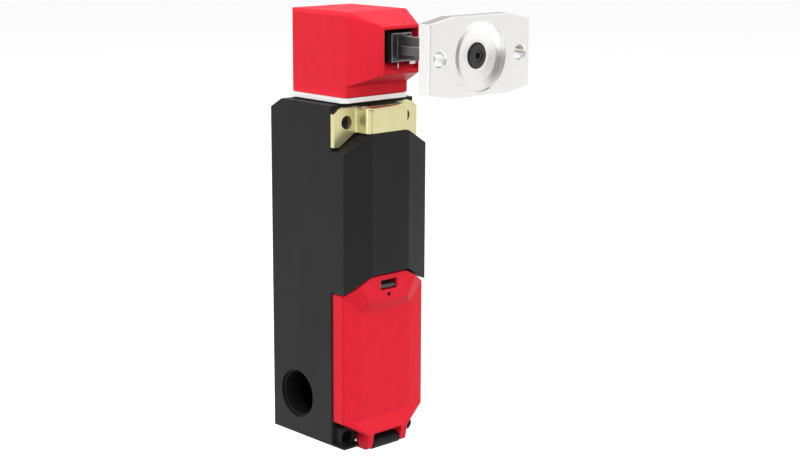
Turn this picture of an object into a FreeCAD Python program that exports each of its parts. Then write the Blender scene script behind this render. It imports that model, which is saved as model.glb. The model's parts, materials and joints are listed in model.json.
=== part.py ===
import FreeCAD, Part
import math
import os

# Tongue interlock switch.  Millimetres, +Z up, the front of the switch faces -Y, its rear lies on y = 0.
# Heights are counted from the flat underside of the housing while the parts are built.  Every part is then
# moved so that the origin is on the rear face, midway between the two lower mounting holes.

V = FreeCAD.Vector

# ---- housing ------------------------------------------------------------------------------------------
body_w = 44.0            # width of the black housing
body_d = 37.5            # depth of its plain rear box
body_h = 138.5           # height of its plain rear box
top_cut_d = 7.3          # slope at the top rear edge, measured back to front
top_cut_h = 4.2          # and its height
wall = 2.5               # moulded wall
corner_r = 0.8           # softened outer edges of mouldings and castings
bulge_side_d = 45.25     # depth of the bulge at its sides
bulge_step = 3.15        # how far its flat front stands out from that
bulge_d = bulge_side_d + bulge_step
bulge_flat_w = 19.5      # width of that flat front
bulge_low = 64.0         # lower edge of the bulge at its sides
bulge_high = body_h - 18.1  # upper edge of the bulge at its sides
bulge_rise = 6.7         # how far both edges climb towards the middle
skin = 2.1               # wall of the bulge
cavity_low = 7.5         # floor of the wiring chamber
cavity_top = body_h - 13.0  # ceiling of the mechanism chamber
chamber_half = 13.0      # half width of the wiring chamber between the two cable entries
chamber_top = 29.5       # where the wiring chamber opens into the wide upper chamber
mouth_half = 18.4        # half width of the opening behind the lid
mouth_low = 13.6         # lower edge of that opening
mouth_top = 60.0         # upper edge of that opening

# ---- mounting and cable entry -------------------------------------------------------------------------
fix_r = 2.65             # clearance hole for an M5 screw
low_fix_half = 17.0      # half spacing of the lower holes
low_fix_z = 3.5          # height of the lower holes above the underside
high_fix_half = 15.5     # half spacing of the upper holes
high_fix_z = body_h - 6.9  # height of the upper holes above the underside
boss_r = 4.9             # boss around the left lower hole
boss_flat = 20.2         # its left side is flat, this far from the middle of the housing
left_boss_d = 41.0       # how far forward the left boss stands
ledge_t = 0.8            # thin ledge under the lid's lower corners
ledge_d = 45.0
ledge_inner = 11.2
entry_r = 9.25           # M20 x 1.5 cable entry, thread core
entry_mouth_r = 10.0     # plain mouth of the entry
entry_mouth_l = 1.5
entry_y = -15.6
entry_z = 17.1
plug_l = 8.0             # length of the blanking plug in the right-hand entry

# ---- lid ----------------------------------------------------------------------------------------------
lid_half = 21.5          # half width of the lid
lid_side_d = 43.8        # depth at which its sloped shoulders begin
lid_d = 45.15            # depth of its flat front
lid_flat_half = 13.4     # half width of that flat front
lid_back = 37.8          # rear rim of the lid
lid_low = 10.3           # lower edge of the side walls
lid_high = 63.0          # upper edge of the side walls
lid_top = 69.7           # upper edge at the middle
lid_t = 2.0              # wall of the lid
pad_rise = 2.15          # height of the raised pad around the release window
pad_d = lid_d + pad_rise
pad_half = 10.2          # half width of the pad where it reaches its full height
pad_low = 55.3           # foot of the slope that leads up to the pad
pad_full = 59.0          # upper end of that slope
chin_half = 10.8         # half width of the lower end of the lid
chin_z = 4.0
chin_rise = 1.75
chin_d = lid_d + chin_rise
chin_wall = 1.95         # front wall of the lid above the hinge knuckle
chin_room_d = lid_d - chin_wall
knuckle_half = 7.2       # half width of the black hinge knuckle
pin_y = -44.2            # axis of the lid hinge
pin_z = -1.0
pin_r = 1.0
pin_cap = 1.0            # the left lug is closed over the end of the pin
knuckle_r = 2.1
lug_gap = 0.35           # side play of the lugs
lug_low = -2.4           # underside of the lugs
lug_front = 45.9         # how far forward the lugs reach
lug_toe = 45.3           # their underside runs from here
lug_heel = 40.1          # to here
lug_back = 39.4          # rear of the lugs
window_half = 4.3
window_low = 63.6
window_high = 67.7
pocket_half = 6.0
pocket_low = 61.9
pocket_high = 68.9
hook_rib_set = 3.3       # the rib under the latch lies this far behind the pad's front
hook_rib_t = 1.2
hook_rib_front = pad_d - hook_rib_set
hook_rib_back = hook_rib_front - hook_rib_t
window_skin = 1.2        # wall of the lid round the window
dot_r = 0.75             # small round mark under the window
dot_depth = 0.7
dot_drop = 2.0
seal_w = 1.6             # lid seal
seal_outer_half = 20.9
seal_low = 11.4
seal_high = 62.2

# ---- release latch ------------------------------------------------------------------------------------
latch_y = -39.6
latch_z = 66.2
latch_r = 0.95
latch_half = 4.1
latch_set = 0.7          # the latch nose lies this far behind the pad's front
latch_nose_d = pad_d - latch_set
latch_ear_half = 5.3     # half length of the latch trunnion
latch_ear_t = 1.0        # ears of the housing that carry it
latch_ear_h = 1.5
latch_arm_t = 0.6        # half thickness of the latch arm

# ---- bracket ------------------------------------------------------------------------------------------
sheet = 2.0              # folded steel sheet
ear_back = 37.5          # rear of the ears
ear_half = 22.0
hood_half = 10.7         # half width of the folded hood
hood_d = 47.5
hood_low = body_h - 11.2
hood_high = body_h - 0.7
ear_low = body_h - 16.3
fold_r = 2.2             # outside radius of the folds

# ---- head ---------------------------------------------------------------------------------------------
axis_y = -23.5           # the head turns about this upright axis
plate_low = body_h + 0.6
plate_high = plate_low + 1.95
head_half = 16.1
head_back = 7.0
head_d = 40.0
head_low = plate_high + 0.25
head_high = head_low + 33.05
slot_z = head_low + 19.8  # mid height of the slot, tongue and actuator
crown_h = 1.45           # the head's side walls lean in a little along their upper edges
crown_w = 0.6
snout_d = 54.0
snout_half = 9.2
snout_low = head_low + 9.5
snout_high = head_low + 28.1
snout_root_low = head_low + 4.2   # where the snout leaves the block
channel_half = 5.45      # free channel for the tongue
channel_low = slot_z - 5.8
channel_high = slot_z + 6.1
channel_end = 16.0
slot_half = 8.8          # wide mouth of the slot
slot_low = slot_z - 9.5
slot_high = slot_z + 7.1
mouth_l = 4.5            # length of the tapered mouth
mouth_d = snout_d - mouth_l
guide_set = 0.7          # the lips of the black guide cheeks lie this far behind the snout's front
guide_d = snout_d - guide_set
guide_lip_l = 2.7        # the full cheeks start this far behind the lips
guide_step = guide_d - guide_lip_l
guide_lip = 0.7
plate_half = 17.6        # bright plate under the head
plate_back = 4.6
plate_front = 40.3
plate_cut = 2.2
head_screw_half = 13.2   # the four head screws stand on a square round the head's axis
head_screw_r = 1.25
head_screw_l = 6.95      # reach of the screws above the plate
gasket_top = body_h + 0.45
neck_r = 9.6             # turning sleeve through the top of the housing
neck_fit = 0.08
neck_flange_r = 12.0
neck_flange_t = 1.15
neck_low = body_h - 15.5
ring_t = 1.0             # retaining ring
ring_r = 11.2

# ---- cam, plunger and contacts ------------------------------------------------------------------------
cam_z = plate_high + 7.15
cam_r = 5.8
cam_drop = 3.0           # fall of the cam over its working arc
cam_arc = 60.0
cam_half = 4.5
axle_r = 1.5
axle_half = 14.0
running = 0.06           # radial running fit
plunger_r = 3.0
plunger_top = plate_high + 0.95
plunger_tip_r = 0.3
plunger_low = 58.0
groove_h = 2.2
groove_r = 1.9
block_half = 16.5        # contact block
block_front = 34.0
block_back = 8.0
block_low = 34.0
block_high = 61.6
block_screw_x = 13.6     # screws that hold the contact block
block_screw_z = 48.2
block_cup_r = 2.5        # counterbore for their heads
block_cup_l = 4.0
spring_seat = 38.0       # floor of the contact block's shaft, seat of the plunger spring
carrier_half = 4.2
shaft_half = 4.6
carrier_low = 44.0
bridge_half = 7.2
bridge_t = 0.8
low_bridge_z = 46.6
high_bridge_z = 53.6
bridge_room = 4.1        # free height under the lower bridge
terminal_pitch = 8.2
row_low_z = 41.0
row_high_z = 55.4

# ---- lock ---------------------------------------------------------------------------------------------
lock_z = bulge_high - 16.3  # axis of the solenoid
groove_z = lock_z - 1.1  # upper locking groove; the lower one is one stroke below
lock_stroke = 4.5
lock_spring_l = 2.0      # length of the return spring when it is fully pressed together
coil_back = 33.3
coil_front = 44.3
bobbin_r = 4.9
flange_r = 9.0
armature_r = 3.9
yoke_half = 9.0
yoke_t = 1.2
yoke_high = 10.3
yoke_screw_x = 16.2      # screws that hold the yoke
fork_t = 1.6
fork_half = 5.0
fork_front = 27.0
fork_l = 4.2
fork_pad_t = 0.6         # cross plate where the armature stem meets the fork

# ---- actuator -----------------------------------------------------------------------------------------
act_half = 26.0
act_side_h = 12.9        # half height at the ends
act_mid_half = 14.9      # half length of the full-height part
act_mid_h = 15.0
act_front = 96.7
act_back = 91.2
act_hole_edge = 5.1      # from the ends of the plate to the middle of its holes
act_hole_half = act_half - act_hole_edge
act_hole_r = 2.75
dish_r = 13.2
dish_step = 0.9
dish_depth = 2.1
ball_r = 4.8
ball_y = -92.9
bush_front = 95.4
bush_back = 90.2
collar_r = 5.0
collar_back = 88.4
tee_half = 5.15          # cross piece at the end of the tongue
tee_h = 5.5
tee_out = 0.2            # at rest it stands this far out of the slot
tee_t = 2.4
tee_front = snout_d + tee_out
tee_back = tee_front - tee_t
tee_rim = 0.45           # raised rim round the front of the cross piece
tee_tray = 1.1
rib_gap = 3.4            # the side rib stops this far in front of the cross piece
rib_half = 3.0
rib_low = slot_z - 2.5
rib_high = slot_z + 0.8
web_half = 1.1
web_high = slot_z + 4.6
web_low = slot_z - 4.5


# ---- helpers ------------------------------------------------------------------------------------------
def box(x0, x1, y0, y1, z0, z1):
    return Part.makeBox(x1 - x0, y1 - y0, z1 - z0, V(x0, y0, z0))


def rod_x(radius, x0, x1, y, z):
    return Part.makeCylinder(radius, x1 - x0, V(x0, y, z), V(1, 0, 0))


def rod_y(radius, y0, y1, x, z):
    return Part.makeCylinder(radius, y1 - y0, V(x, y0, z), V(0, 1, 0))


def rod_z(radius, z0, z1, x=0.0, y=axis_y):
    return Part.makeCylinder(radius, z1 - z0, V(x, y, z0), V(0, 0, 1))


def face_of(points):
    return Part.Face(Part.makePolygon(points + [points[0]]))


def prism_x(points, x0, x1):
    return face_of([V(x0, y, z) for y, z in points]).extrude(V(x1 - x0, 0, 0))


def prism_y(points, y0, y1):
    return face_of([V(x, y0, z) for x, z in points]).extrude(V(0, y1 - y0, 0))


def prism_z(points, z0, z1):
    return face_of([V(x, y, z0) for x, y in points]).extrude(V(0, 0, z1 - z0))


def both_sides(points):
    """Close a right-hand outline with its mirror image across x = 0."""
    return points + [(-x, other) for x, other in reversed(points)]


def hull_of_two(ring_a, ring_b):
    """Solid between two similar flat rings of points."""
    faces = [face_of(ring_a), face_of(ring_b)]
    count = len(ring_a)
    for i in range(count):
        j = (i + 1) % count
        faces.append(face_of([ring_a[i], ring_a[j], ring_b[j], ring_b[i]]))
    solid = Part.makeSolid(Part.makeShell(faces))
    if solid.Volume < 0:
        solid.reverse()
    return solid


def crowned_ring(y, half, low, high, share):
    """Outline of the head at one depth; the share scales its leaning upper edges."""
    lean = crown_w * share
    side = high - crown_h * share
    return [V(-half, y, low), V(half, y, low), V(half, y, side), V(half - lean, y, high),
            V(-half + lean, y, high), V(-half, y, side)]


def frustum(y0, half0, low0, high0, y1, half1, low1, high1):
    """Four-sided taper along Y."""
    def ring(y, half, low, high):
        return [V(-half, y, low), V(half, y, low), V(half, y, high), V(-half, y, high)]
    return hull_of_two(ring(y0, half0, low0, high0), ring(y1, half1, low1, high1))


def join(shapes):
    result = shapes[0]
    for shape in shapes[1:]:
        result = result.fuse(shape)
    return result.removeSplitter()


def cut(shape, tools):
    for tool in tools:
        shape = shape.cut(tool)
    return shape


def rounded(shape, radius, wanted):
    """Fillet the edges that the test picks."""
    edges = [edge for edge in shape.Edges if wanted(edge)]
    return shape.makeFillet(radius, edges)


def upright(edge, x=None, y=None):
    """True for a straight edge along Z at the given place."""
    box_of = edge.BoundBox
    if box_of.XLength > 0.01 or box_of.YLength > 0.01:
        return False
    if x is not None and abs(abs(box_of.Center.x) - x) > 0.05:
        return False
    return y is None or abs(box_of.Center.y - y) < 0.05


def spring_along(axis, start, length, radius, wire_r, turns):
    """Open coil spring from start along axis ('y' or 'z')."""
    helix = Part.makeHelix((length - 2 * wire_r) / turns, length - 2 * wire_r, radius)
    profile = Part.Wire([Part.makeCircle(wire_r, V(radius, 0, 0), V(0, 1, 0))])
    coil = Part.Wire(helix).makePipeShell([profile], True, True)
    coil.translate(V(0, 0, wire_r))
    if axis == "y":
        coil.rotate(V(0, 0, 0), V(1, 0, 0), -90)
    coil.translate(start)
    return coil


# ---- housing ------------------------------------------------------------------------------------------
def bulge_plan(inset):
    half = body_w / 2 - inset
    flat = bulge_flat_w / 2 - inset * 0.45
    return both_sides([(half, -body_d + 3.0), (half, -bulge_side_d + inset * 0.75), (flat, -bulge_d + inset)])


def bulge_front(inset):
    half = body_w / 2
    flat = bulge_flat_w / 2
    low = bulge_low + inset
    high = bulge_high - inset
    return [(-half, low), (-flat, low + bulge_rise), (flat, low + bulge_rise), (half, low),
            (half, high), (flat, high + bulge_rise), (-flat, high + bulge_rise), (-half, high)]


def make_housing():
    half = body_w / 2
    side = [(0, 0), (-body_d, 0), (-body_d, body_h), (-top_cut_d, body_h), (0, body_h - top_cut_h)]
    rear_box = prism_x(side, -half, half)
    rear_box = rounded(rear_box, corner_r, lambda edge: upright(edge, half))
    bulge = prism_z(bulge_plan(0.0), bulge_low, bulge_high + bulge_rise)
    bulge = bulge.common(prism_y(bulge_front(0.0), -bulge_d, -body_d + 3.0))
    bulge = rounded(bulge, corner_r, lambda edge: upright(edge, half, -bulge_side_d))
    boss = rod_y(boss_r, -left_boss_d, -body_d + 4.0, -low_fix_half, low_fix_z)
    boss = boss.common(box(-boss_flat, 0.0, -left_boss_d - 1.0, 0.0, 0.0, 20.0))
    left_ledge = prism_z([(-half, -body_d + 1.0), (-half, -ledge_d), (-half + 7.7, -ledge_d),
                          (-ledge_inner - 1.4, -body_d - 5.0), (-ledge_inner - 0.8, -body_d + 1.0)],
                         0.0, ledge_t)
    right_ledge = prism_z([(ledge_inner, -body_d + 1.0), (half, -body_d + 1.0), (half, -body_d),
                           (half - 2.4, -body_d - 2.4), (half - 6.0, -body_d - 4.9),
                           (ledge_inner, -body_d - 6.0)], 0.0, ledge_t)
    arm_side = [(pin_y, pin_z + knuckle_r), (-body_d, 3.6), (-body_d + 2.0, 3.6), (-body_d + 2.0, 0.0),
                (-body_d - 0.6, 0.0), (pin_y + 1.4, pin_z - knuckle_r + 0.5)]
    arm = prism_x(arm_side, -knuckle_half, knuckle_half)
    knuckle = rod_x(knuckle_r, -knuckle_half, knuckle_half, pin_y, pin_z)
    ear_x = latch_ear_half - latch_ear_t / 2
    ears = [box(s * ear_x - latch_ear_t / 2, s * ear_x + latch_ear_t / 2, latch_y - latch_ear_h, -body_d + 1.0,
                latch_z - latch_ear_h, latch_z + latch_ear_h) for s in (-1, 1)]
    shell = join([rear_box, bulge, boss, left_ledge, right_ledge, arm, knuckle] + ears)

    inner = half - wall
    chamber = box(-chamber_half, chamber_half, -body_d + wall, -wall, cavity_low, chamber_top + 0.1)
    upper = box(-inner, inner, -body_d + wall, -wall, chamber_top, cavity_top)
    mouth = box(-mouth_half, mouth_half, -body_d - 0.1, -body_d + wall + 0.1, mouth_low, mouth_top)
    pocket = prism_z(bulge_plan(skin), bulge_low, bulge_high + bulge_rise)
    pocket = pocket.common(prism_y(bulge_front(skin + 1.4), -bulge_d, -body_d + wall + 0.2))
    hollow = [chamber, upper, mouth, pocket]

    for s in (-1, 1):
        hollow.append(rod_x(entry_r, min(s * (chamber_half - 0.1), s * (half + 0.1)),
                            max(s * (chamber_half - 0.1), s * (half + 0.1)), entry_y, entry_z))
        hollow.append(rod_x(entry_mouth_r, min(s * (half - entry_mouth_l), s * (half + 0.1)),
                            max(s * (half - entry_mouth_l), s * (half + 0.1)), entry_y, entry_z))
        hollow.append(rod_y(fix_r, -left_boss_d - 0.1, 0.1, s * low_fix_half, low_fix_z))
        hollow.append(rod_y(fix_r, -body_d - 0.1, 0.1, s * high_fix_half, high_fix_z))
    hollow.append(rod_z(neck_r + neck_fit, cavity_top - 0.1, body_h + 0.1))
    hollow.append(rod_x(pin_r + 0.02, -knuckle_half - 0.1, knuckle_half + 0.1, pin_y, pin_z))
    hollow.append(rod_x(latch_r + running, -latch_ear_half - 0.1, latch_ear_half + 0.1, latch_y, latch_z))
    hollow.append(seal_ring(0.8))
    shell = cut(shell, hollow)

    block_posts = [rod_y(3.2, -block_back, -wall + 0.5, s * block_screw_x, block_screw_z) for s in (-1, 1)]
    coil_posts = [box(min(s * 14.2, s * (inner + 0.4)), max(s * 14.2, s * (inner + 0.4)),
                      -coil_back + yoke_t, -wall + 0.5, lock_z - 5.0, lock_z + 5.0) for s in (-1, 1)]
    shell = join([shell] + block_posts + coil_posts)
    holes = []
    for s in (-1, 1):
        holes.append(rod_y(1.4, -block_back - 0.1, -wall, s * block_screw_x, block_screw_z))
        holes.append(rod_y(1.25, -coil_back + yoke_t, -coil_back + yoke_t + 8.0, s * yoke_screw_x, lock_z))
    return cut(shell, holes)


def seal_ring(depth):
    """Frame-shaped ring round the lid opening, from the given groove depth to the lid's rim."""
    outer = box(-seal_outer_half, seal_outer_half, -body_d - 0.3, -body_d + depth, seal_low, seal_high)
    half = seal_outer_half - seal_w
    inner = box(-half, half, -body_d - 1.0, -body_d + depth + 1.0, seal_low + seal_w, seal_high - seal_w)
    return outer.cut(inner)


# ---- bracket ------------------------------------------------------------------------------------------
def make_bracket():
    ear_front = ear_back + sheet
    outline = both_sides([(ear_half, -ear_back), (ear_half, -ear_front), (hood_half, -ear_front),
                          (hood_half, -hood_d)])
    inside = both_sides([(hood_half - sheet, -ear_back + 1.0), (hood_half - sheet, -hood_d + sheet)])
    strip = prism_z(outline, ear_low, hood_high).cut(prism_z(inside, ear_low - 1.0, hood_high + 1.0))
    strip = rounded(strip, fold_r, lambda edge: upright(edge, hood_half, -hood_d))
    strip = rounded(strip, 1.2, lambda edge: upright(edge, hood_half, -ear_front))
    front = both_sides([(hood_half + 0.1, hood_low), (hood_half + 0.2, hood_low + 0.1), (19.3, ear_low),
                        (ear_half, ear_low), (ear_half, hood_high - 2.6), (ear_half - 2.6, hood_high - 0.7),
                        (ear_half - 4.9, hood_high)])
    strip = strip.common(prism_y(front, -hood_d - 1.0, -ear_back + 1.0))
    roof_half = hood_half - sheet + 0.05
    roof = box(-roof_half, roof_half, -hood_d + 0.6, -ear_back, hood_high - sheet, hood_high)
    bracket = join([strip, roof])
    bracket = rounded(bracket, 1.6, lambda edge: along_x(edge, -hood_d, hood_high))
    holes = [rod_y(fix_r, -hood_d, -ear_back + 1.0, s * high_fix_half, high_fix_z) for s in (-1, 1)]
    return cut(bracket, holes)


# ---- lid ----------------------------------------------------------------------------------------------
def lid_front(inset):
    half = lid_half - inset
    return both_sides([(chin_half - inset, chin_z + inset * 0.4), (half, lid_low + inset * 0.6),
                       (half, lid_high - inset), (bulge_flat_w / 2, lid_top - inset)])


def lid_plan(inset):
    return both_sides([(lid_half - inset, -lid_back + inset), (lid_half - inset, -lid_side_d + inset * 0.7),
                       (lid_flat_half - inset * 0.2, -lid_d + inset)])


def make_pad():
    """Raised area round the window.  Its flanks run out towards the upper corners of the lid."""
    pad_side = [(-lid_d + 1.5, pad_low), (-lid_d, pad_low), (-pad_d, pad_full), (-pad_d, lid_top),
                (-lid_d + 1.5, lid_top)]
    pad = prism_x(pad_side, -lid_half, lid_half)
    for s in (-1, 1):
        foot = V(s * lid_flat_half, -lid_d, pad_low)
        corner = V(s * lid_half, -lid_side_d, lid_high)
        front = V(s * pad_half, -pad_d, pad_full)
        outward = (corner - foot).cross(front - foot)
        if outward.x * s < 0:
            outward = -outward
        outward.normalize()
        along = (corner - foot).normalize() * 60.0
        across = outward.cross(along)
        sheet_face = face_of([foot - along - across, foot + along - across, foot + along + across,
                              foot - along + across])
        pad = pad.cut(sheet_face.extrude(outward * 40.0))
    return pad


def make_lid():
    body = prism_z(lid_plan(0.0), chin_z, lid_top)
    pad = make_pad()
    chin_side = [(-lid_d + 1.0, lid_low), (-lid_d, lid_low), (-chin_d, chin_z), (-lid_d + 1.0, chin_z)]
    chin = prism_x(chin_side, -lid_half, lid_half)
    chin_plan = both_sides([(lid_half, -lid_side_d + 0.5), (lid_half, -lid_side_d - 0.02),
                            (chin_half, -chin_d)])
    chin = chin.common(prism_z(chin_plan, chin_z, lid_low))
    outer = join([body, pad, chin]).common(prism_y(lid_front(0.0), -pad_d - 1.0, -lid_back))

    half = seal_outer_half - seal_w - 0.1
    hollow_plan = both_sides([(half, -lid_back + 0.5), (half, -lid_side_d + lid_t * 0.75),
                              (lid_flat_half - 0.6, -lid_d + lid_t)])
    hollow_front = both_sides([(chin_half - 2.4, seal_low + seal_w), (half, seal_low + seal_w),
                               (half, seal_high - seal_w)])
    hollow = prism_z(hollow_plan, chin_z, lid_top).common(prism_y(hollow_front, -lid_d, -lid_back + 0.5))
    latch_room = box(-pocket_half, pocket_half, -pad_d + window_skin, -lid_back + 0.5, pocket_low, pocket_high)
    window = box(-window_half, window_half, -pad_d - 0.5, -pad_d + window_skin + 0.5, window_low, window_high)
    boss_room = rod_y(boss_r + 0.5, -left_boss_d - 0.6, -lid_back + 1.0, -low_fix_half, low_fix_z)
    knuckle_room = box(-knuckle_half - 0.1, knuckle_half + 0.1, -chin_d - 1.0, -lid_back + 0.5,
                       pin_z - knuckle_r - 1.0, chin_z)
    relief = box(-chin_half - 0.1, chin_half + 0.1, -chin_room_d, -lid_back + 0.5, chin_z - 0.1, lid_low)
    shell = cut(outer, [hollow, latch_room, window, knuckle_room, relief, boss_room])
    rib = box(-pocket_half - 0.1, pocket_half + 0.1, -hook_rib_front, -hook_rib_back,
              pocket_low - 0.1, window_low - 0.2)
    lugs = []
    for s in (-1, 1):
        inner_x = knuckle_half + lug_gap
        x0 = min(s * inner_x, s * chin_half)
        x1 = max(s * inner_x, s * chin_half)
        arm = prism_x([(-chin_d, chin_z), (-lug_front, lug_low + 0.6), (-lug_toe, lug_low),
                       (-lug_heel, lug_low), (-lug_back, lug_low + 0.8),
                       (-lug_back, lid_low + 0.5), (-lid_d + 0.1, lid_low + 0.5), (-lid_d + 0.1, lid_low)],
                      x0, x1)
        lugs.append(arm)
    lid = join([shell, rib] + lugs)
    pin_bore = rod_x(pin_r + running, -chin_half + pin_cap - running, chin_half + 1.0, pin_y, pin_z)
    dot = rod_y(dot_r, -pad_d - 0.5, -pad_d + dot_depth, 0.0, window_low - dot_drop)
    return cut(lid, [pin_bore, dot])


def make_latch():
    trunnion = rod_x(latch_r, -latch_ear_half, latch_ear_half, latch_y, latch_z)
    hub = rod_x(1.5, -latch_half, latch_half, latch_y, latch_z)
    nose_z = window_low + 0.2 + latch_r
    nose_y = -latch_nose_d + latch_r
    nose = rod_x(latch_r, -latch_half, latch_half, nose_y, nose_z)
    knee_y = nose_y + 2.6
    arm = prism_x([(latch_y, latch_z + latch_arm_t), (latch_y, latch_z - latch_arm_t),
                   (knee_y, nose_z - latch_arm_t), (nose_y, nose_z - latch_arm_t),
                   (nose_y, nose_z + latch_arm_t), (knee_y, nose_z + latch_arm_t)], -latch_half, latch_half)
    return join([trunnion, hub, arm, nose])


def along_x(edge, y, z):
    """True for a straight edge along X at the given place."""
    box_of = edge.BoundBox
    if box_of.YLength > 0.01 or box_of.ZLength > 0.01:
        return False
    return abs(box_of.Center.y - y) < 0.05 and abs(box_of.Center.z - z) < 0.05


# ---- head ---------------------------------------------------------------------------------------------
def make_head_shell():
    block = hull_of_two(crowned_ring(-head_d, head_half, head_low, head_high, 1.0),
                        crowned_ring(-head_back, head_half, head_low, head_high, 1.0))
    block = rounded(block, corner_r, lambda edge: upright(edge, head_half, -head_back))
    foot = box(-head_half + 0.5, head_half - 0.5, -head_d + 0.5, -head_back - 0.5, plate_high, head_low + 0.5)
    snout = hull_of_two(crowned_ring(-snout_d, snout_half, snout_low, snout_high, 0.4),
                        crowned_ring(-head_d, head_half, snout_root_low, head_high, 1.0))
    head = join([block, foot, snout])
    channel = box(-channel_half, channel_half, -snout_d - 1.0, -channel_end, channel_low, channel_high)
    guide_room = box(-slot_half, slot_half, -snout_d - 1.0, -head_d + 2.0, channel_low, channel_high)
    mouth = frustum(-snout_d - 0.01, slot_half, slot_low, slot_high, -mouth_d, slot_half,
                    channel_low, channel_high)
    cam_room = box(-channel_half, channel_half, -31.6, axis_y + 7.2, head_low - 1.0, channel_low + 1.0)
    seat = rod_z(neck_flange_r + 0.1, plate_high - 0.1, plate_high + neck_flange_t)
    axle_bore = rod_x(axle_r, -axle_half, axle_half, axis_y, cam_z)
    screw_holes = [rod_z(head_screw_r, plate_high - 0.1, plate_high + head_screw_l + 1.0, x, y)
                   for x, y in head_screw_places()]
    return cut(head, [channel, guide_room, mouth, cam_room, seat, axle_bore] + screw_holes)


def head_screw_places():
    return [(s * head_screw_half, axis_y + t * head_screw_half) for s in (-1, 1) for t in (1, -1)]


def make_guide():
    cheeks = []
    for s in (-1, 1):
        x0 = min(s * channel_half, s * slot_half)
        x1 = max(s * channel_half, s * slot_half)
        cheek = box(x0, x1, -guide_step, -head_d + 2.0, channel_low, channel_high)
        edge_x = s * channel_half
        lip_x = s * (channel_half + guide_lip)
        lip = box(min(edge_x, lip_x), max(edge_x, lip_x), -guide_d, -head_d + 2.0, channel_low, channel_high)
        lead = prism_z([(edge_x, -guide_d - 0.1), (edge_x + s * 0.4, -guide_d - 0.1), (edge_x, -guide_d + 1.0)],
                       channel_low - 1.0, channel_high + 1.0)
        cheeks.append(join([cheek, lip]).cut(lead))
    return Part.makeCompound(cheeks)


def make_slot_clip():
    """Sheet metal parts below the tongue: an upright blade and a tab under the right-hand guide cheek."""
    rise = (channel_low - slot_low) / (snout_d - mouth_d)
    blade_front = snout_d - 1.4
    floor_z = slot_low + rise * (snout_d - blade_front)
    blade_top = channel_low - 0.6
    blade = prism_x([(-blade_front, floor_z), (-blade_front, blade_top),
                     (-blade_front + (blade_top - floor_z) / rise, blade_top)], -0.65, -0.15)
    tab = box(channel_half - 0.3, slot_half, -guide_d, -guide_d + 3.6, channel_low - 1.2, channel_low)
    tab_floor = prism_x([(-snout_d, slot_low), (-mouth_d, channel_low), (-mouth_d, slot_low)], 4.0, 9.0)
    return Part.makeCompound([blade, tab.cut(tab_floor)])


def make_head_plate():
    x = plate_half
    c = plate_cut
    outline = both_sides([(x - c, -plate_front), (x, -plate_front + c), (x, -plate_back - c),
                          (x - c, -plate_back)])
    plate = prism_z(outline, plate_low, plate_high)
    tools = [rod_z(neck_r, plate_low - 1.0, plate_high + 1.0)]
    for px, py in head_screw_places():
        tools.append(rod_z(1.6, plate_low - 1.0, plate_high + 1.0, px, py))
        tools.append(Part.makeCone(2.9, 1.6, 1.3, V(px, py, plate_low)))
    return cut(plate, tools)


def make_head_gasket():
    pad = box(-plate_half + 2.0, plate_half - 2.0, -body_d + 0.4, -top_cut_d - 0.4, body_h, gasket_top)
    return pad.cut(rod_z(neck_r + 0.6, body_h - 1.0, gasket_top + 1.0))


def make_head_screws():
    screws = []
    for x, y in head_screw_places():
        head = Part.makeCone(2.8, head_screw_r, 1.25, V(x, y, plate_low + 0.02))
        screws.append(join([head, rod_z(head_screw_r, plate_low + 0.5, plate_high + head_screw_l, x, y)]))
    return Part.makeCompound(screws)


def make_sleeve():
    tube = rod_z(neck_r, neck_low, plate_high)
    flange = rod_z(neck_flange_r, plate_high, plate_high + neck_flange_t)
    groove = rod_z(neck_r + 1.0, ring_z(), ring_z() + ring_t)
    groove = groove.cut(rod_z(neck_r - 1.0, ring_z(), ring_z() + ring_t))
    bore = rod_z(plunger_r + running, neck_low - 1.0, plate_high + 3.0)
    return cut(join([tube, flange]), [groove, bore])


def ring_z():
    return cavity_top - 0.3 - ring_t


def make_sleeve_ring():
    ring = rod_z(ring_r, ring_z(), ring_z() + ring_t).cut(rod_z(neck_r - 1.0, ring_z() - 1.0, cavity_top))
    gap = box(-2.2, 2.2, axis_y, axis_y + ring_r + 1.0, ring_z() - 1.0, cavity_top)
    return ring.cut(gap)


def cam_radius(angle):
    """Radius at an angle counted from straight down in the direction the cam brings round."""
    if angle <= cam_arc:
        return cam_r - cam_drop * angle / cam_arc
    if angle <= cam_arc + 35.0:
        return cam_r - cam_drop
    return cam_r - cam_drop + cam_drop * (angle - cam_arc - 35.0) / 40.0


def make_cam():
    """The working arc falls in step with the turn, so the plunger rises evenly as the tongue goes in."""
    def point(angle, radius):
        turn = math.radians(angle)
        return V(-cam_half, axis_y + radius * math.sin(turn), cam_z - radius * math.cos(turn))
    last = cam_arc + 75.0
    edges = []
    stops = [0.0, cam_arc / 2, cam_arc, cam_arc + 35.0, last, (last + 360.0) / 2, 360.0]
    for start, stop in zip(stops[:-1], stops[1:]):
        ends = [point(angle, cam_radius(angle) if angle < last else cam_r)
                for angle in (start, (start + stop) / 2, stop)]
        edges.append(Part.Arc(ends[0], ends[1], ends[2]).toShape())
    disc = Part.Face(Part.Wire(edges)).extrude(V(2 * cam_half, 0, 0))
    hub = rod_x(2.8, -channel_half + 0.3, channel_half - 0.3, axis_y, cam_z)
    bore = rod_x(axle_r + running, -10.0, 10.0, axis_y, cam_z)
    return join([disc, hub]).cut(bore)


def make_plunger():
    stem = rod_z(plunger_r, plunger_low, plunger_top - 4.0)
    tip = Part.makeCone(plunger_r, plunger_tip_r, 4.0, V(0, axis_y, plunger_top - 4.0))
    plunger = join([stem, tip])
    for low in (groove_z, groove_z - cam_drop):
        ring = rod_z(plunger_r + 1.0, low, low + groove_h).cut(rod_z(groove_r, low, low + groove_h))
        plunger = plunger.cut(ring)
    return plunger


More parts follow.
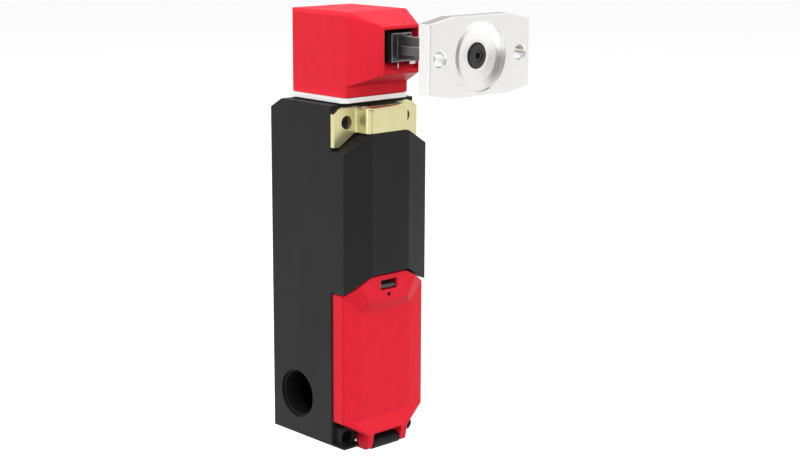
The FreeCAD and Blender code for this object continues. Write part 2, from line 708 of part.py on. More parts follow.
# ---- contact block ------------------------------------------------------------------------------------
def terminal_places():
    columns = [terminal_pitch * (i - 1.5) for i in range(4)]
    return [(x, z) for z in (row_low_z, row_high_z) for x in columns]


def make_contact_block():
    block = box(-block_half, block_half, -block_front, -block_back, block_low, block_high)
    tools = [box(-shaft_half, shaft_half, axis_y - shaft_half, axis_y + shaft_half,
                 spring_seat, block_high + 1.0),
             box(-bridge_half - 1.0, bridge_half + 1.0, axis_y - 2.2, axis_y + 2.2,
                 low_bridge_z - bridge_room, block_high + 1.0)]
    for x, z in terminal_places():
        tools.append(box(x - 3.3, x + 3.3, -block_front - 1.0, -block_front + 3.2, z - 3.6, z + 3.6))
        wire_low = z - 6.5 if z == row_low_z else z + 3.0
        tools.append(box(x - 1.9, x + 1.9, -block_front - 1.0, -block_front + 3.2, wire_low, wire_low + 3.5))
        tools.append(rod_y(1.5, -block_front + 3.0, -block_front + 5.4, x, z))
    for s in (-1, 1):
        tools.append(rod_y(1.6, -block_front - 1.0, -block_back + 1.0, s * block_screw_x, block_screw_z))
        tools.append(rod_y(block_cup_r, -block_front - 1.0, -block_front + block_cup_l,
                           s * block_screw_x, block_screw_z))
    tools.append(make_fixed_contacts())
    return cut(block, tools)


def make_fixed_contacts():
    strips = []
    for s in (-1, 1):
        for low in (low_bridge_z - 0.1 - bridge_t, high_bridge_z + bridge_t + cam_drop + 0.1):
            x0 = min(s * 5.2, s * 12.0)
            x1 = max(s * 5.2, s * 12.0)
            strips.append(box(x0, x1, axis_y - 1.5, axis_y + 1.5, low, low + bridge_t))
    return Part.makeCompound(strips)


def make_terminal_clamps():
    clamps = []
    for x, z in terminal_places():
        y0 = -block_front + 2.0
        plate = box(x - 2.9, x + 2.9, y0, y0 + 1.2, z - 3.0, z + 3.0)
        clamps.append(plate.cut(rod_y(1.5, y0 - 1.0, y0 + 2.0, x, z)))
    return Part.makeCompound(clamps)


def make_terminal_screws():
    screws = []
    for x, z in terminal_places():
        y0 = -block_front + 2.0
        head = rod_y(2.5, y0 - 1.5, y0, x, z)
        shank = rod_y(1.5, y0, -block_front + 5.4, x, z)
        slots = [box(x - 1.7, x + 1.7, y0 - 1.6, y0 - 0.7, z - 0.3, z + 0.3),
                 box(x - 0.3, x + 0.3, y0 - 1.6, y0 - 0.7, z - 1.7, z + 1.7)]
        screws.append(cut(join([head, shank]), slots))
    return Part.makeCompound(screws)


def make_block_screws():
    screws = []
    for s in (-1, 1):
        head_y = -block_front + 4.0
        head = rod_y(2.3, head_y - 1.8, head_y, s * block_screw_x, block_screw_z)
        shank = rod_y(1.4, head_y, -3.6, s * block_screw_x, block_screw_z)
        x = s * block_screw_x
        slot = box(x - 1.6, x + 1.6, head_y - 1.9, head_y - 1.0, block_screw_z - 0.35, block_screw_z + 0.35)
        screws.append(cut(join([head, shank]), [slot]))
    return Part.makeCompound(screws)


def make_carrier():
    body = box(-carrier_half, carrier_half, axis_y - carrier_half, axis_y + carrier_half,
               carrier_low, plunger_low)
    tools = []
    for low in (low_bridge_z, high_bridge_z):
        tools.append(box(-carrier_half - 1.0, carrier_half + 1.0, axis_y - 1.5, axis_y + 1.5,
                         low, low + bridge_t))
    return cut(body, tools)


def make_bridges():
    strips = []
    for low in (low_bridge_z, high_bridge_z):
        strips.append(box(-bridge_half, bridge_half, axis_y - 1.5, axis_y + 1.5, low, low + bridge_t))
    return Part.makeCompound(strips)


# ---- lock ---------------------------------------------------------------------------------------------
def make_bobbin():
    tube = rod_y(bobbin_r, -coil_front, -coil_back, 0, lock_z)
    flanges = [rod_y(flange_r, -coil_front, -coil_front + 1.0, 0, lock_z),
               rod_y(flange_r, -coil_back - 1.0, -coil_back, 0, lock_z)]
    bore = rod_y(armature_r + running, -coil_front - 1.0, -coil_back + 1.0, 0, lock_z)
    return join([tube] + flanges).cut(bore)


def make_coil():
    winding = rod_y(flange_r - 0.5, -coil_front + 1.0, -coil_back - 1.0, 0, lock_z)
    return winding.cut(rod_y(bobbin_r, -coil_front, -coil_back, 0, lock_z))


def make_yoke():
    y0 = -coil_front - yoke_t
    y1 = -coil_back + yoke_t
    frame = box(-yoke_half, yoke_half, y0, y1, lock_z - yoke_high, lock_z + yoke_high)
    window = box(-yoke_half - 1.0, yoke_half + 1.0, -coil_front, -coil_back, lock_z - yoke_high + yoke_t,
                 lock_z + yoke_high - yoke_t)
    ears = box(-19.0, 19.0, -coil_back, y1, lock_z - 4.5, lock_z + 4.5)
    tools = [rod_y(1.8, -coil_back - 1.0, y1 + 1.0, 0, lock_z)]
    for s in (-1, 1):
        tools.append(rod_y(1.4, -coil_back - 1.0, y1 + 1.0, s * yoke_screw_x, lock_z))
    return cut(join([frame.cut(window), ears]), tools)


def make_yoke_screws():
    screws = []
    for s in (-1, 1):
        head = rod_y(2.4, -coil_back - 1.6, -coil_back, s * yoke_screw_x, lock_z)
        shank = rod_y(1.25, -coil_back, -coil_back + 7.0, s * yoke_screw_x, lock_z)
        slot = box(s * yoke_screw_x - 1.6, s * yoke_screw_x + 1.6, -coil_back - 1.7, -coil_back - 0.9,
                   lock_z - 0.3, lock_z + 0.3)
        screws.append(cut(join([head, shank]), [slot]))
    return Part.makeCompound(screws)


def make_armature():
    core = rod_y(armature_r, -coil_front + 0.2, -coil_front + 4.4, 0, lock_z)
    stem = rod_y(1.5, -coil_front + 4.4, -fork_front - fork_l - fork_pad_t, 0, lock_z)
    return join([core, stem])


def make_fork():
    back = fork_front + fork_l
    plate = box(-fork_half, fork_half, -back - fork_pad_t / 2, -fork_front,
                lock_z - fork_t / 2, lock_z + fork_t / 2)
    pad = box(-2.4, 2.4, -back - fork_pad_t, -back, lock_z - 2.2, lock_z + 2.2)
    slot_end = axis_y - lock_stroke
    slot = box(-groove_r - 0.3, groove_r + 0.3, slot_end, -fork_front + 1.0, lock_z - 3.0, lock_z + 3.0)
    bottom = rod_z(groove_r + 0.3, lock_z - 3.0, lock_z + 3.0, 0.0, slot_end)
    return cut(join([plate, pad]), [slot, bottom])


# ---- actuator -----------------------------------------------------------------------------------------
def make_actuator_plate():
    points = [(act_half, -act_side_h), (act_half, act_side_h), (act_mid_half, act_mid_h),
              (-act_mid_half, act_mid_h), (-act_half, act_side_h), (-act_half, -act_side_h),
              (-act_mid_half, -act_mid_h), (act_mid_half, -act_mid_h)]
    plate = prism_y([(x, slot_z + z) for x, z in points], -act_front, -act_back)
    rim = [edge for edge in plate.Edges
           if edge.BoundBox.YLength < 0.01 and edge.BoundBox.Center.y < -act_front + 0.1]
    plate = plate.makeChamfer(0.35, rim)
    tools = [rod_y(dish_r, -act_front - 0.1, -act_front + dish_step, 0, slot_z),
             Part.makeCone(dish_r - 0.7, ball_r + 1.2, dish_depth - dish_step,
                           V(0, -act_front + dish_step, slot_z), V(0, 1, 0)),
             rod_y(ball_r + 0.08, -act_front, -act_back + 0.1, 0, slot_z)]
    for s in (-1, 1):
        tools.append(rod_y(act_hole_r, -act_front - 0.1, -act_back + 0.1, s * act_hole_half, slot_z))
        tools.append(Part.makeCone(act_hole_r + 0.35, act_hole_r, 0.35,
                                   V(s * act_hole_half, -act_front, slot_z), V(0, 1, 0)))
    return cut(plate, tools)


def make_bush():
    ball = Part.makeSphere(ball_r, V(0, ball_y, slot_z))
    slab = box(-ball_r, ball_r, -bush_front, -bush_back, slot_z - ball_r, slot_z + ball_r)
    return cut(ball.common(slab), [rod_y(2.4, -bush_front - 1.0, -bush_front + 2.2, 0, slot_z),
                                   rod_y(1.5, -bush_front, -bush_back + 1.0, 0, slot_z)])


def make_tongue_screw():
    head_y = -bush_front + 2.2
    head = rod_y(2.3, head_y - 1.9, head_y, 0, slot_z)
    socket = []
    for i in range(6):
        turn = math.radians(60 * i)
        socket.append((1.35 * math.cos(turn), slot_z + 1.35 * math.sin(turn)))
    shank = rod_y(1.5, head_y, -collar_back + 3.0, 0, slot_z)
    return join([head, shank]).cut(prism_y(socket, head_y - 2.0, head_y - 0.7))


def make_tongue():
    collar = rod_y(collar_r, -bush_back, -collar_back, 0, slot_z)
    rib = box(-rib_half, rib_half, -bush_back + 0.2, -tee_front - rib_gap, rib_low, rib_high)
    web = prism_x([(-bush_back + 0.2, web_low + 1.0), (-tee_front + 0.3, web_low), (-tee_front + 0.3, web_high),
                   (-bush_back + 0.2, web_high - 0.6)], -web_half, web_half)
    tee = box(-tee_half, tee_half, -tee_front, -tee_back, slot_z - tee_h, slot_z + tee_h)
    tray = box(-tee_half + tee_rim, tee_half - tee_rim, -tee_front - 0.1, -tee_front + tee_tray,
               slot_z - tee_h + tee_rim, slot_z + tee_h - tee_rim)
    neck = box(-web_half, web_half, -tee_front - rib_gap - 1.0, -tee_front + tee_tray + 0.2, web_low, web_high)
    gusset = frustum(-tee_front - rib_gap, rib_half, rib_low, rib_high, -tee_front + tee_tray + 0.2,
                     web_half, rib_low, rib_high)
    tongue = join([tee.cut(tray), collar, rib, web, neck, gusset])
    tongue = rounded(tongue, 0.8, lambda edge: upright(edge, tee_half, -tee_back))
    return tongue.cut(rod_y(1.5, -bush_back - 1.0, -collar_back + 3.0, 0, slot_z))


# ---- small parts --------------------------------------------------------------------------------------
def make_entry_plug():
    half = body_w / 2
    plug = rod_x(entry_r - 0.03, half - plug_l, half - entry_mouth_l, entry_y, entry_z)
    rim = rod_x(entry_mouth_r - 0.2, half - entry_mouth_l, half - 0.2, entry_y, entry_z)
    slot = box(half - 1.3, half + 1.0, entry_y - 1.1, entry_y + 1.1, entry_z - 7.5, entry_z + 7.5)
    hollow = rod_x(entry_r - 2.2, half - plug_l - 1.0, half - 3.4, entry_y, entry_z)
    return cut(join([plug, rim]), [slot, hollow])


def build_parts():
    plunger_spring = spring_along("z", V(0, axis_y, spring_seat), carrier_low - spring_seat, 2.6, 0.35, 3.0)
    lock_spring = spring_along("y", V(0, -coil_back - lock_spring_l, lock_z), lock_spring_l, 2.6, 0.3, 3.0)
    return {
        "housing": make_housing(),
        "bracket": make_bracket(),
        "hinge_pin": rod_x(pin_r, -chin_half + pin_cap, chin_half, pin_y, pin_z),
        "lid": make_lid(),
        "lid_seal": seal_ring(0.8),
        "lid_latch": make_latch(),
        "entry_plug": make_entry_plug(),
        "contact_block": make_contact_block(),
        "fixed_contacts": make_fixed_contacts(),
        "terminal_clamps": make_terminal_clamps(),
        "terminal_screws": make_terminal_screws(),
        "block_screws": make_block_screws(),
        "contact_carrier": make_carrier(),
        "contact_bridges": make_bridges(),
        "plunger": make_plunger(),
        "plunger_spring": plunger_spring,
        "coil_bobbin": make_bobbin(),
        "coil_winding": make_coil(),
        "coil_yoke": make_yoke(),
        "yoke_screws": make_yoke_screws(),
        "armature": make_armature(),
        "lock_fork": make_fork(),
        "lock_spring": lock_spring,
        "head_gasket": make_head_gasket(),
        "head_plate": make_head_plate(),
        "head_screws": make_head_screws(),
        "turning_sleeve": make_sleeve(),
        "sleeve_ring": make_sleeve_ring(),
        "head_shell": make_head_shell(),
        "slot_guide": make_guide(),
        "slot_clip": make_slot_clip(),
        "cam_axle": rod_x(axle_r, -axle_half, axle_half, axis_y, cam_z),
        "cam": make_cam(),
        "tongue": make_tongue(),
        "ball_bush": make_bush(),
        "tongue_screw": make_tongue_screw(),
        "actuator_plate": make_actuator_plate(),
    }


os.makedirs("parts", exist_ok=True)
for node_name, node_shape in build_parts().items():
    node_shape.translate(V(0, 0, -low_fix_z))
    node_shape.exportStep("parts/" + node_name + ".step")
    print(node_name, node_shape.isValid(), len(node_shape.Solids), round(node_shape.Volume, 1))
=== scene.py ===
import json
import math

import bpy
from mathutils import Matrix, Vector


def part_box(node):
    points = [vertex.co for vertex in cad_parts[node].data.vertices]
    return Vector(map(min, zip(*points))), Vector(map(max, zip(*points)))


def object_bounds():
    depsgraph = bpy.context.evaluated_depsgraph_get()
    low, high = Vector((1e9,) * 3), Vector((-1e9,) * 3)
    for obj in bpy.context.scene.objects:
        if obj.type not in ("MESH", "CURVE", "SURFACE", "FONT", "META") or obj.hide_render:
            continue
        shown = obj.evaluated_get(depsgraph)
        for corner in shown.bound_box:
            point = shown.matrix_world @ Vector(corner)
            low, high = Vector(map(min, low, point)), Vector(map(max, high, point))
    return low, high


# Tongue interlock switch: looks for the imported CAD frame.  Metres, the CAD frame's own axes.

MM = 0.001
SPARK_GRAIN = 0.35 * MM         # texture of moulded plastic
ENTRY_INNER_X = -13.2 * MM      # the left cable entry ends here
THREAD_PITCH = 1.5 * MM
MARK_Z = 58.1 * MM              # round mark under the lid's window
MARK_R = 0.8 * MM
LID_FRONT_Y = -45.0 * MM
BOWL_FLOOR_R = 9.2 * MM         # bowl of the key plate, from its flat middle to its rim
BOWL_RIM_R = 13.1 * MM
BOWL_REACH = 3.2 * MM           # how far behind the plate's front the bowl goes
RING_STEP = 0.35 * MM           # turned rings in the bowl
WIRE_STEP = 0.4 * MM            # turns of the coil's wire
LENS = 72.95
CAMERA_PLACE = (-0.42714, -0.51152, 0.22089)
CAMERA_YAW = math.radians(43.01)
CAMERA_PITCH = math.radians(12.16)
CAMERA_ROLL = math.radians(0.25)
FLOOR_DROP = 45 * MM            # room under the switch for its open lid
FLOOR_HALF = 3.0
CARD_Y = -0.75
LIT_POINT = (0.0, -0.03, 0.08)  # all lamps aim here

LOOK_OF_NODE = {"lid": "red_lid"}   # nodes whose look isn't named after their material slot

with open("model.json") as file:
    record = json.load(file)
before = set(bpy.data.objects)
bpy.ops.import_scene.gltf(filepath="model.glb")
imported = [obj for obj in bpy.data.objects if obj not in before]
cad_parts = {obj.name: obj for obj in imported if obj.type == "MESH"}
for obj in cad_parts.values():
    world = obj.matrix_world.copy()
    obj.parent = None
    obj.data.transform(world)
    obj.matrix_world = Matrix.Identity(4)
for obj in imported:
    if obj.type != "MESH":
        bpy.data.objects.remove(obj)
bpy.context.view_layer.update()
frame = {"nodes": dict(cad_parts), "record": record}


# ---- shader graph helper ------------------------------------------------------------------------------
class Graph:
    """Builds one procedural material with a few readable calls."""

    def __init__(self, name):
        self.material = bpy.data.materials.new(name)
        self.material.use_nodes = True
        self.tree = self.material.node_tree
        self.tree.nodes.clear()
        self.output = self.tree.nodes.new("ShaderNodeOutputMaterial")
        self.shader = self.tree.nodes.new("ShaderNodeBsdfPrincipled")
        self.link(self.shader.outputs[0], self.output.inputs[0])
        self.place = self.tree.nodes.new("ShaderNodeTexCoord").outputs["Object"]

    def link(self, source, target):
        self.tree.links.new(source, target)

    def give(self, socket, value):
        if hasattr(value, "node"):
            self.link(value, socket)
        elif isinstance(value, (tuple, list)) and len(value) == 3 and len(socket.default_value) == 4:
            socket.default_value = (*value, 1.0)
        else:
            socket.default_value = value

    def set(self, **values):
        for key, value in values.items():
            self.give(self.shader.inputs[key.replace("_", " ")], value)

    def math(self, kind, a, b=0.0):
        node = self.tree.nodes.new("ShaderNodeMath")
        node.operation = kind
        self.give(node.inputs[0], a)
        self.give(node.inputs[1], b)
        return node.outputs[0]

    def ramp(self, value, low, high, out_low=0.0, out_high=1.0):
        node = self.tree.nodes.new("ShaderNodeMapRange")
        self.give(node.inputs["Value"], value)
        self.give(node.inputs["From Min"], low)
        self.give(node.inputs["From Max"], high)
        self.give(node.inputs["To Min"], out_low)
        self.give(node.inputs["To Max"], out_high)
        return node.outputs[0]

    def mix(self, share, a, b):
        node = self.tree.nodes.new("ShaderNodeMix")
        node.data_type = "RGBA"
        self.give(node.inputs[0], share)
        self.give(node.inputs[6], a)
        self.give(node.inputs[7], b)
        return node.outputs[2]

    def noise(self, grain, detail=2.0, stretch=(1, 1, 1), roughness=0.5):
        """Noise whose features are about as wide as the given grain in metres."""
        scale = self.tree.nodes.new("ShaderNodeMapping")
        scale.inputs["Scale"].default_value = [s / grain for s in stretch]
        self.link(self.place, scale.inputs["Vector"])
        node = self.tree.nodes.new("ShaderNodeTexNoise")
        node.inputs["Scale"].default_value = 1.0
        node.inputs["Detail"].default_value = detail
        node.inputs["Roughness"].default_value = roughness
        self.link(scale.outputs[0], node.inputs["Vector"])
        return node.outputs["Fac"]

    def axes(self):
        node = self.tree.nodes.new("ShaderNodeSeparateXYZ")
        self.link(self.place, node.inputs[0])
        return node.outputs

    def distance(self, a, a0, b, b0):
        """Distance from a straight axis, given two coordinates and where the axis stands."""
        da = self.math("SUBTRACT", a, a0)
        db = self.math("SUBTRACT", b, b0)
        squares = self.math("ADD", self.math("MULTIPLY", da, da), self.math("MULTIPLY", db, db))
        return self.math("SQRT", squares)

    def soft_normal(self, radius):
        node = self.tree.nodes.new("ShaderNodeBevel")
        node.samples = 6
        node.inputs["Radius"].default_value = radius
        return node.outputs[0]

    def edge_mask(self, soft, strength):
        """1 on sharp edges, 0 on flats: how far the softened normal leans from the true one."""
        geometry = self.tree.nodes.new("ShaderNodeNewGeometry")
        dot = self.tree.nodes.new("ShaderNodeVectorMath")
        dot.operation = "DOT_PRODUCT"
        self.link(soft, dot.inputs[0])
        self.link(geometry.outputs["True Normal"], dot.inputs[1])
        lean = self.math("SUBTRACT", 1.0, dot.outputs["Value"])
        return self.ramp(lean, 0.02, 0.25, 0.0, strength)

    def facing_up(self):
        """Z of the face's true normal: 1 on a level top."""
        geometry = self.tree.nodes.new("ShaderNodeNewGeometry")
        parts = self.tree.nodes.new("ShaderNodeSeparateXYZ")
        self.link(geometry.outputs["True Normal"], parts.inputs[0])
        return parts.outputs["Z"]

    def so_far(self, name):
        """What feeds one of the shader's inputs until now."""
        return self.shader.inputs[name].links[0].from_socket

    def bump(self, height, strength, distance, normal=None):
        node = self.tree.nodes.new("ShaderNodeBump")
        node.inputs["Strength"].default_value = strength
        node.inputs["Distance"].default_value = distance
        self.link(height, node.inputs["Height"])
        if normal is not None:
            self.link(normal, node.inputs["Normal"])
        return node.outputs[0]


# ---- materials ----------------------------------------------------------------------------------------
def moulded(name, colour, light, rough, relief=0.05, edge=0.35 * MM):
    """Moulded plastic: fine spark texture, slight flow marks, edges a little lighter, partly from wear and
    partly a painted highlight.
    """
    g = Graph(name)
    soft = g.soft_normal(edge)
    flow = g.noise(14 * MM, 3.0, (1, 1, 0.4))
    fine = g.noise(SPARK_GRAIN, 2.0)
    tone = g.mix(g.ramp(flow, 0.3, 0.7, 0.0, 0.55), colour, light)
    # edges lighter: partly wear, partly a painted highlight standing in for light caught by the edges
    g.set(Base_Color=g.mix(g.edge_mask(soft, 0.35), tone, [min(1.0, c * 2.2) for c in light]))
    g.set(Roughness=g.ramp(flow, 0.3, 0.7, rough - 0.05, rough + 0.06))
    g.set(Normal=g.bump(fine, relief, 0.1 * MM, soft))
    return g


def metal(name, colour, dark, rough, grain=0.2 * MM, relief=0.04, edge=0.15 * MM, metallic=1.0, painted_rim_highlight=None):
    """Plain or plated metal with a fine grain; an optional light colour along its sharp edges is a painted
    highlight.
    """
    g = Graph(name)
    soft = g.soft_normal(edge)
    cloud = g.noise(9 * MM, 3.0)
    fine = g.noise(grain, 2.0)
    tone = g.mix(g.ramp(cloud, 0.35, 0.7, 0.0, 0.5), colour, dark)
    g.set(Base_Color=tone, Metallic=metallic)
    g.set(Roughness=g.ramp(fine, 0.3, 0.7, rough - 0.04, rough + 0.06))
    g.set(Normal=g.bump(fine, relief, 0.05 * MM, soft))
    # painted highlight: the light colour on sharp edges stands in for light glancing off them
    if painted_rim_highlight is not None:
        g.set(Base_Color=g.mix(g.edge_mask(soft, 0.9), tone, painted_rim_highlight))
    return g


def housing_material():
    """Black moulding with a threaded entry on its left and steel bushes in its upper holes."""
    g = moulded("black_polymer", (0.0085, 0.0085, 0.0087), (0.0105, 0.0105, 0.0108), 0.50,
                relief=0.08, edge=0.5 * MM)
    x, y, z = g.axes()
    entry = mount_named("cable_entry")
    radius = g.distance(y, entry["pos_m"][1], z, entry["pos_m"][2])
    thread_depth = g.math("LESS_THAN", radius, entry["dims"]["r_mm"] * MM + 0.25 * MM)
    near_left = g.math("LESS_THAN", x, ENTRY_INNER_X)
    turns = g.math("PINGPONG", g.math("MULTIPLY", x, 1.0 / THREAD_PITCH), 0.5)
    ridge = g.math("MULTIPLY", g.math("MULTIPLY", turns, thread_depth), near_left)
    g.set(Normal=g.bump(ridge, 0.35, 1.2 * MM, g.so_far("Normal")), Specular_IOR_Level=0.18)
    upper = mount_named("upper_holes")
    across = g.math("SUBTRACT", g.math("ABSOLUTE", x), upper["dims"]["spacing_x_mm"] / 2 * MM)
    from_axis = g.distance(across, 0.0, z, upper["pos_m"][2])
    bush = g.math("LESS_THAN", from_axis, upper["dims"]["hole_r_mm"] * MM + 0.06 * MM)
    g.set(Base_Color=g.mix(bush, g.so_far("Base Color"), (0.30, 0.29, 0.27)))
    g.set(Metallic=g.math("MULTIPLY", bush, 0.9))
    return g.material


def red_material(name, edge, edge_wear_and_highlight):
    """Red enamel over a die casting: uneven, its edges a little lighter from wear and from a painted
    highlight, dull with dust on top.
    """
    g = Graph(name)
    soft = g.soft_normal(edge)
    mottle = g.noise(5 * MM, 4.0, roughness=0.62)
    peel = g.noise(1.1 * MM, 2.0)
    tone = g.mix(g.ramp(mottle, 0.35, 0.68), (0.785, 0.0175, 0.037), (0.835, 0.0205, 0.042))
    # edges painted lighter red: partly wear, partly a painted highlight
    g.set(Base_Color=g.mix(g.edge_mask(soft, edge_wear_and_highlight), tone, (0.85, 0.08, 0.11)))
    g.set(Roughness=g.ramp(mottle, 0.3, 0.7, 0.36, 0.48))
    g.set(Specular_IOR_Level=g.ramp(g.facing_up(), 0.80, 0.98, 0.10, 0.01))
    uneven = g.bump(mottle, 0.06, 0.5 * MM, soft)
    g.set(Normal=g.bump(peel, 0.06, 0.15 * MM, uneven))
    return g


def lid_material():
    """The lid's enamel, with the round mark under its window filled in dark."""
    g = red_material("red_lid", 1.5 * MM, 0.03)
    x, y, z = g.axes()
    round_mark = g.math("LESS_THAN", g.distance(x, 0.0, z, MARK_Z), MARK_R)
    mark = g.math("MULTIPLY", round_mark, g.math("LESS_THAN", y, LID_FRONT_Y))
    g.set(Base_Color=g.mix(mark, g.so_far("Base Color"), (0.05, 0.004, 0.006)))
    return g.material


def yellow_zinc_material():
    """Yellow passivated zinc: pale gold with faint greenish clouds, glossier on the folded top web."""
    g = Graph("yellow_zinc_steel")
    soft = g.soft_normal(0.3 * MM)
    cloud = g.noise(6 * MM, 4.0)
    pale = g.mix(g.ramp(cloud, 0.35, 0.65), (0.71, 0.67, 0.37), (0.68, 0.63, 0.33))
    tone = g.mix(g.ramp(cloud, 0.62, 0.75, 0.0, 0.5), pale, (0.67, 0.68, 0.39))
    web = g.math("GREATER_THAN", g.facing_up(), 0.8)
    g.set(Base_Color=tone, Metallic=g.ramp(web, 0.0, 1.0, 0.7, 0.95))
    g.set(Roughness=g.ramp(web, 0.0, 1.0, 0.29, 0.14), Normal=soft)
    return g.material


def plate_material():
    """Light die-cast metal, blasted, with a smooth turned bowl; its level upper edges carry a painted
    reflection, dark grey painted in for the dark surroundings they would mirror.
    """
    g = metal("satin_metal", (0.80, 0.785, 0.77), (0.765, 0.75, 0.735), 0.30, grain=0.3 * MM, relief=0.03,
              edge=0.35 * MM, metallic=0.85)
    x, y, z = g.axes()
    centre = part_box("ball_bush")
    radius = g.distance(x, 0.0, z, (centre[0][2] + centre[1][2]) / 2)
    front = g.math("LESS_THAN", y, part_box("actuator_plate")[0][1] + BOWL_REACH)
    wall = g.ramp(radius, BOWL_FLOOR_R, BOWL_RIM_R)
    wall.node.interpolation_type = "SMOOTHSTEP"
    hollow = g.bump(g.math("MULTIPLY", wall, front), 1.0, 0.8 * MM, g.so_far("Normal"))
    rings = g.math("SINE", g.math("MULTIPLY", radius, 2 * math.pi / RING_STEP))
    in_bowl = g.math("LESS_THAN", radius, BOWL_RIM_R - 0.2 * MM)
    g.set(Normal=g.bump(g.math("MULTIPLY", rings, in_bowl), 0.10, 0.02 * MM, hollow))
    # painted reflection: level faces outside the bowl are painted dark grey to stand in for dark surroundings
    # mirrored in them
    level = g.math("GREATER_THAN", g.facing_up(), 0.9)
    painted_dark_top = g.math("MULTIPLY", level, g.math("GREATER_THAN", radius, 12 * MM))
    g.set(Base_Color=g.mix(painted_dark_top, g.so_far("Base Color"), (0.30, 0.29, 0.29)))
    return g.material


def winding_material():
    """Enamelled copper wire wound along Y."""
    g = Graph("copper_wire")
    turns = g.math("SINE", g.math("MULTIPLY", g.axes()["Y"], 2 * math.pi / WIRE_STEP))
    shade = g.ramp(g.noise(3 * MM), 0.3, 0.7)
    g.set(Base_Color=g.mix(shade, (0.42, 0.13, 0.045), (0.55, 0.20, 0.07)), Metallic=0.8, Roughness=0.3)
    g.set(Normal=g.bump(turns, 0.8, 0.15 * MM))
    return g.material


def mount_named(name):
    return next(mount for mount in frame["record"]["mounts"] if mount["name"] == name)


def make_materials():
    return {
        "black_polymer": housing_material(),
        "red_enamel": red_material("red_enamel", 0.45 * MM, 0.12).material,
        "red_lid": lid_material(),
        "yellow_zinc_steel": yellow_zinc_material(),
        "bright_zinc": metal("bright_zinc", (0.93, 0.93, 0.93), (0.88, 0.88, 0.89), 0.30,
                             metallic=0.35).material,
        "satin_metal": plate_material(),
        # dark metal with a painted highlight along its sharp edges
        "dark_metal": metal("dark_metal", (0.120, 0.122, 0.125), (0.085, 0.086, 0.09), 0.34, relief=0.08,
                            edge=0.3 * MM, metallic=0.8, painted_rim_highlight=(0.70, 0.70, 0.71)).material,
        "black_steel": metal("black_steel", (0.010, 0.010, 0.011), (0.016, 0.016, 0.017), 0.34,
                             metallic=0.2).material,
        "steel": metal("steel", (0.58, 0.58, 0.59), (0.46, 0.46, 0.47), 0.30).material,
        "seal_rubber": moulded("seal_rubber", (0.014, 0.014, 0.014), (0.02, 0.02, 0.02), 0.62).material,
        "bush_rubber": moulded("bush_rubber", (0.006, 0.006, 0.006), (0.009, 0.009, 0.009), 0.42).material,
        "grey_polymer": moulded("grey_polymer", (0.50, 0.50, 0.48), (0.56, 0.56, 0.54), 0.45).material,
        "latch_polymer": moulded("latch_polymer", (0.045, 0.045, 0.047), (0.06, 0.06, 0.062), 0.36).material,
        "contact_metal": metal("contact_metal", (0.80, 0.77, 0.70), (0.70, 0.66, 0.58), 0.22).material,
        "copper_wire": winding_material(),
    }


def dress_nodes(materials):
    for entry in frame["record"]["subparts"]:
        node = frame["nodes"][entry["node"]]
        node.data.materials.clear()
        look = LOOK_OF_NODE.get(entry["node"], entry["material_slot"])
        node.data.materials.append(materials[look])


# ---- camera, floor and light --------------------------------------------------------------------------
def photo_camera():
    """Camera at the viewing angle of the reference view."""
    ahead = Vector((math.sin(CAMERA_YAW), math.cos(CAMERA_YAW), 0.0))
    forward = ahead * math.cos(CAMERA_PITCH) - Vector((0.0, 0.0, math.sin(CAMERA_PITCH)))
    level = Vector((math.cos(CAMERA_YAW), -math.sin(CAMERA_YAW), 0.0))
    upward = level.cross(forward)
    right = level * math.cos(CAMERA_ROLL) + upward * math.sin(CAMERA_ROLL)
    up = right.cross(forward)
    data = bpy.data.cameras.new("photo_camera")
    data.sensor_width = 36.0
    data.lens = LENS
    data.clip_start = 0.05
    camera = bpy.data.objects.new("photo_camera", data)
    turn = Matrix((right, up, -forward)).transposed().to_4x4()
    camera.matrix_world = Matrix.Translation(CAMERA_PLACE) @ turn
    bpy.context.scene.collection.objects.link(camera)
    bpy.context.scene.camera = camera


def flat_sheet(name, corners, paper):
    mesh = bpy.data.meshes.new(name)
    mesh.from_pydata(corners, [], [(0, 1, 2, 3)])
    mesh.materials.append(paper.material)
    sheet = bpy.data.objects.new(name, mesh)
    bpy.context.scene.collection.objects.link(sheet)
    return sheet


def studio_floor():
    """Pale floor, far enough below the switch for its open lid to hang free."""
    half = FLOOR_HALF
    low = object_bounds()[0][2] - FLOOR_DROP
    paper = Graph("floor_paper")
    paper.set(Base_Color=(0.96, 0.96, 0.96), Roughness=0.9, Specular_IOR_Level=0.1)
    corners = [(-half, -half, low), (half, -half, low), (half, half, low), (-half, half, low)]
    floor = flat_sheet("floor", corners, paper)
    floor.visible_diffuse = False


def area_light(name, place, size, power):
    data = bpy.data.lights.new(name, "AREA")
    data.shape = "RECTANGLE"
    data.size = size[0]
    data.size_y = size[1]
    data.energy = power
    light = bpy.data.objects.new(name, data)
    aim = (Vector(LIT_POINT) - Vector(place)).to_track_quat("-Z", "Y")
    light.location = place
    light.rotation_euler = aim.to_euler()
    bpy.context.scene.collection.objects.link(light)
    return light


def map_range(tree, value, low, high, out_low, out_high):
    node = tree.nodes.new("ShaderNodeMapRange")
    tree.links.new(value, node.inputs["Value"])
    for name, number in (("From Min", low), ("From Max", high), ("To Min", out_low), ("To Max", out_high)):
        node.inputs[name].default_value = number
    return node


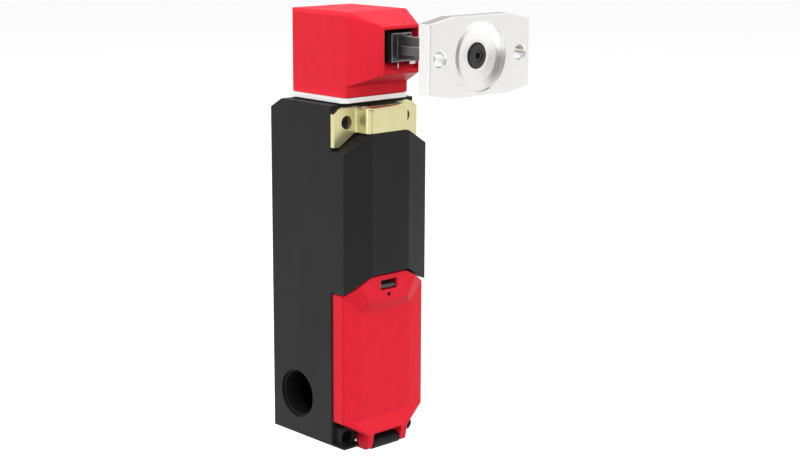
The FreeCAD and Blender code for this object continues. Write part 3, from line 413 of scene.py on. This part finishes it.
def studio_world():
    """White room with a dim wall on the side the viewer stands on, so that metal has something to mirror."""
    world = bpy.data.worlds.new("studio")
    world.use_nodes = True
    tree = world.node_tree
    background = tree.nodes["Background"]
    background.inputs["Color"].default_value = (1.0, 1.0, 1.0, 1.0)
    direction = tree.nodes.new("ShaderNodeTexCoord").outputs["Generated"]
    toward = tree.nodes.new("ShaderNodeVectorMath")
    toward.operation = "DOT_PRODUCT"
    toward.inputs[1].default_value = (-0.50, -0.85, 0.16)
    tree.links.new(direction, toward.inputs[0])
    dim = map_range(tree, toward.outputs["Value"], 0.25, 0.95, 1.15, 0.35)
    dim.interpolation_type = "SMOOTHSTEP"
    height = tree.nodes.new("ShaderNodeSeparateXYZ")
    tree.links.new(direction, height.inputs[0])
    ground = map_range(tree, height.outputs["Z"], -0.25, 0.0, 0.30, 1.0)
    both = tree.nodes.new("ShaderNodeMath")
    both.operation = "MULTIPLY"
    tree.links.new(dim.outputs[0], both.inputs[0])
    tree.links.new(ground.outputs[0], both.inputs[1])
    tree.links.new(both.outputs[0], background.inputs["Strength"])
    bpy.context.scene.world = world


def grey_card():
    """Dark card in front of the switch.  Only mirror reflections see it, as an edge for the metal to show."""
    paper = Graph("card_paper")
    paper.set(Base_Color=(0.10, 0.10, 0.10), Roughness=0.9)
    corners = [(-0.35, CARD_Y, 0.0), (0.25, CARD_Y, 0.0), (0.25, CARD_Y, 0.5), (-0.35, CARD_Y, 0.5)]
    card = flat_sheet("grey_card", corners, paper)
    card.visible_camera = False
    card.visible_diffuse = False
    card.visible_shadow = False


def studio_light():
    area_light("top", (-0.10, 0.10, 1.0), (1.2, 1.2), 7.0)
    area_light("left", (-0.95, 0.15, 0.25), (0.5, 0.7), 1.2)
    fill = area_light("fill", (-0.35, -1.00, 0.45), (0.8, 0.8), 6.5)
    fill.visible_glossy = False


bpy.context.scene.view_settings.view_transform = "Standard"
dress_nodes(make_materials())
photo_camera()
studio_floor()
grey_card()
studio_world()
studio_light()
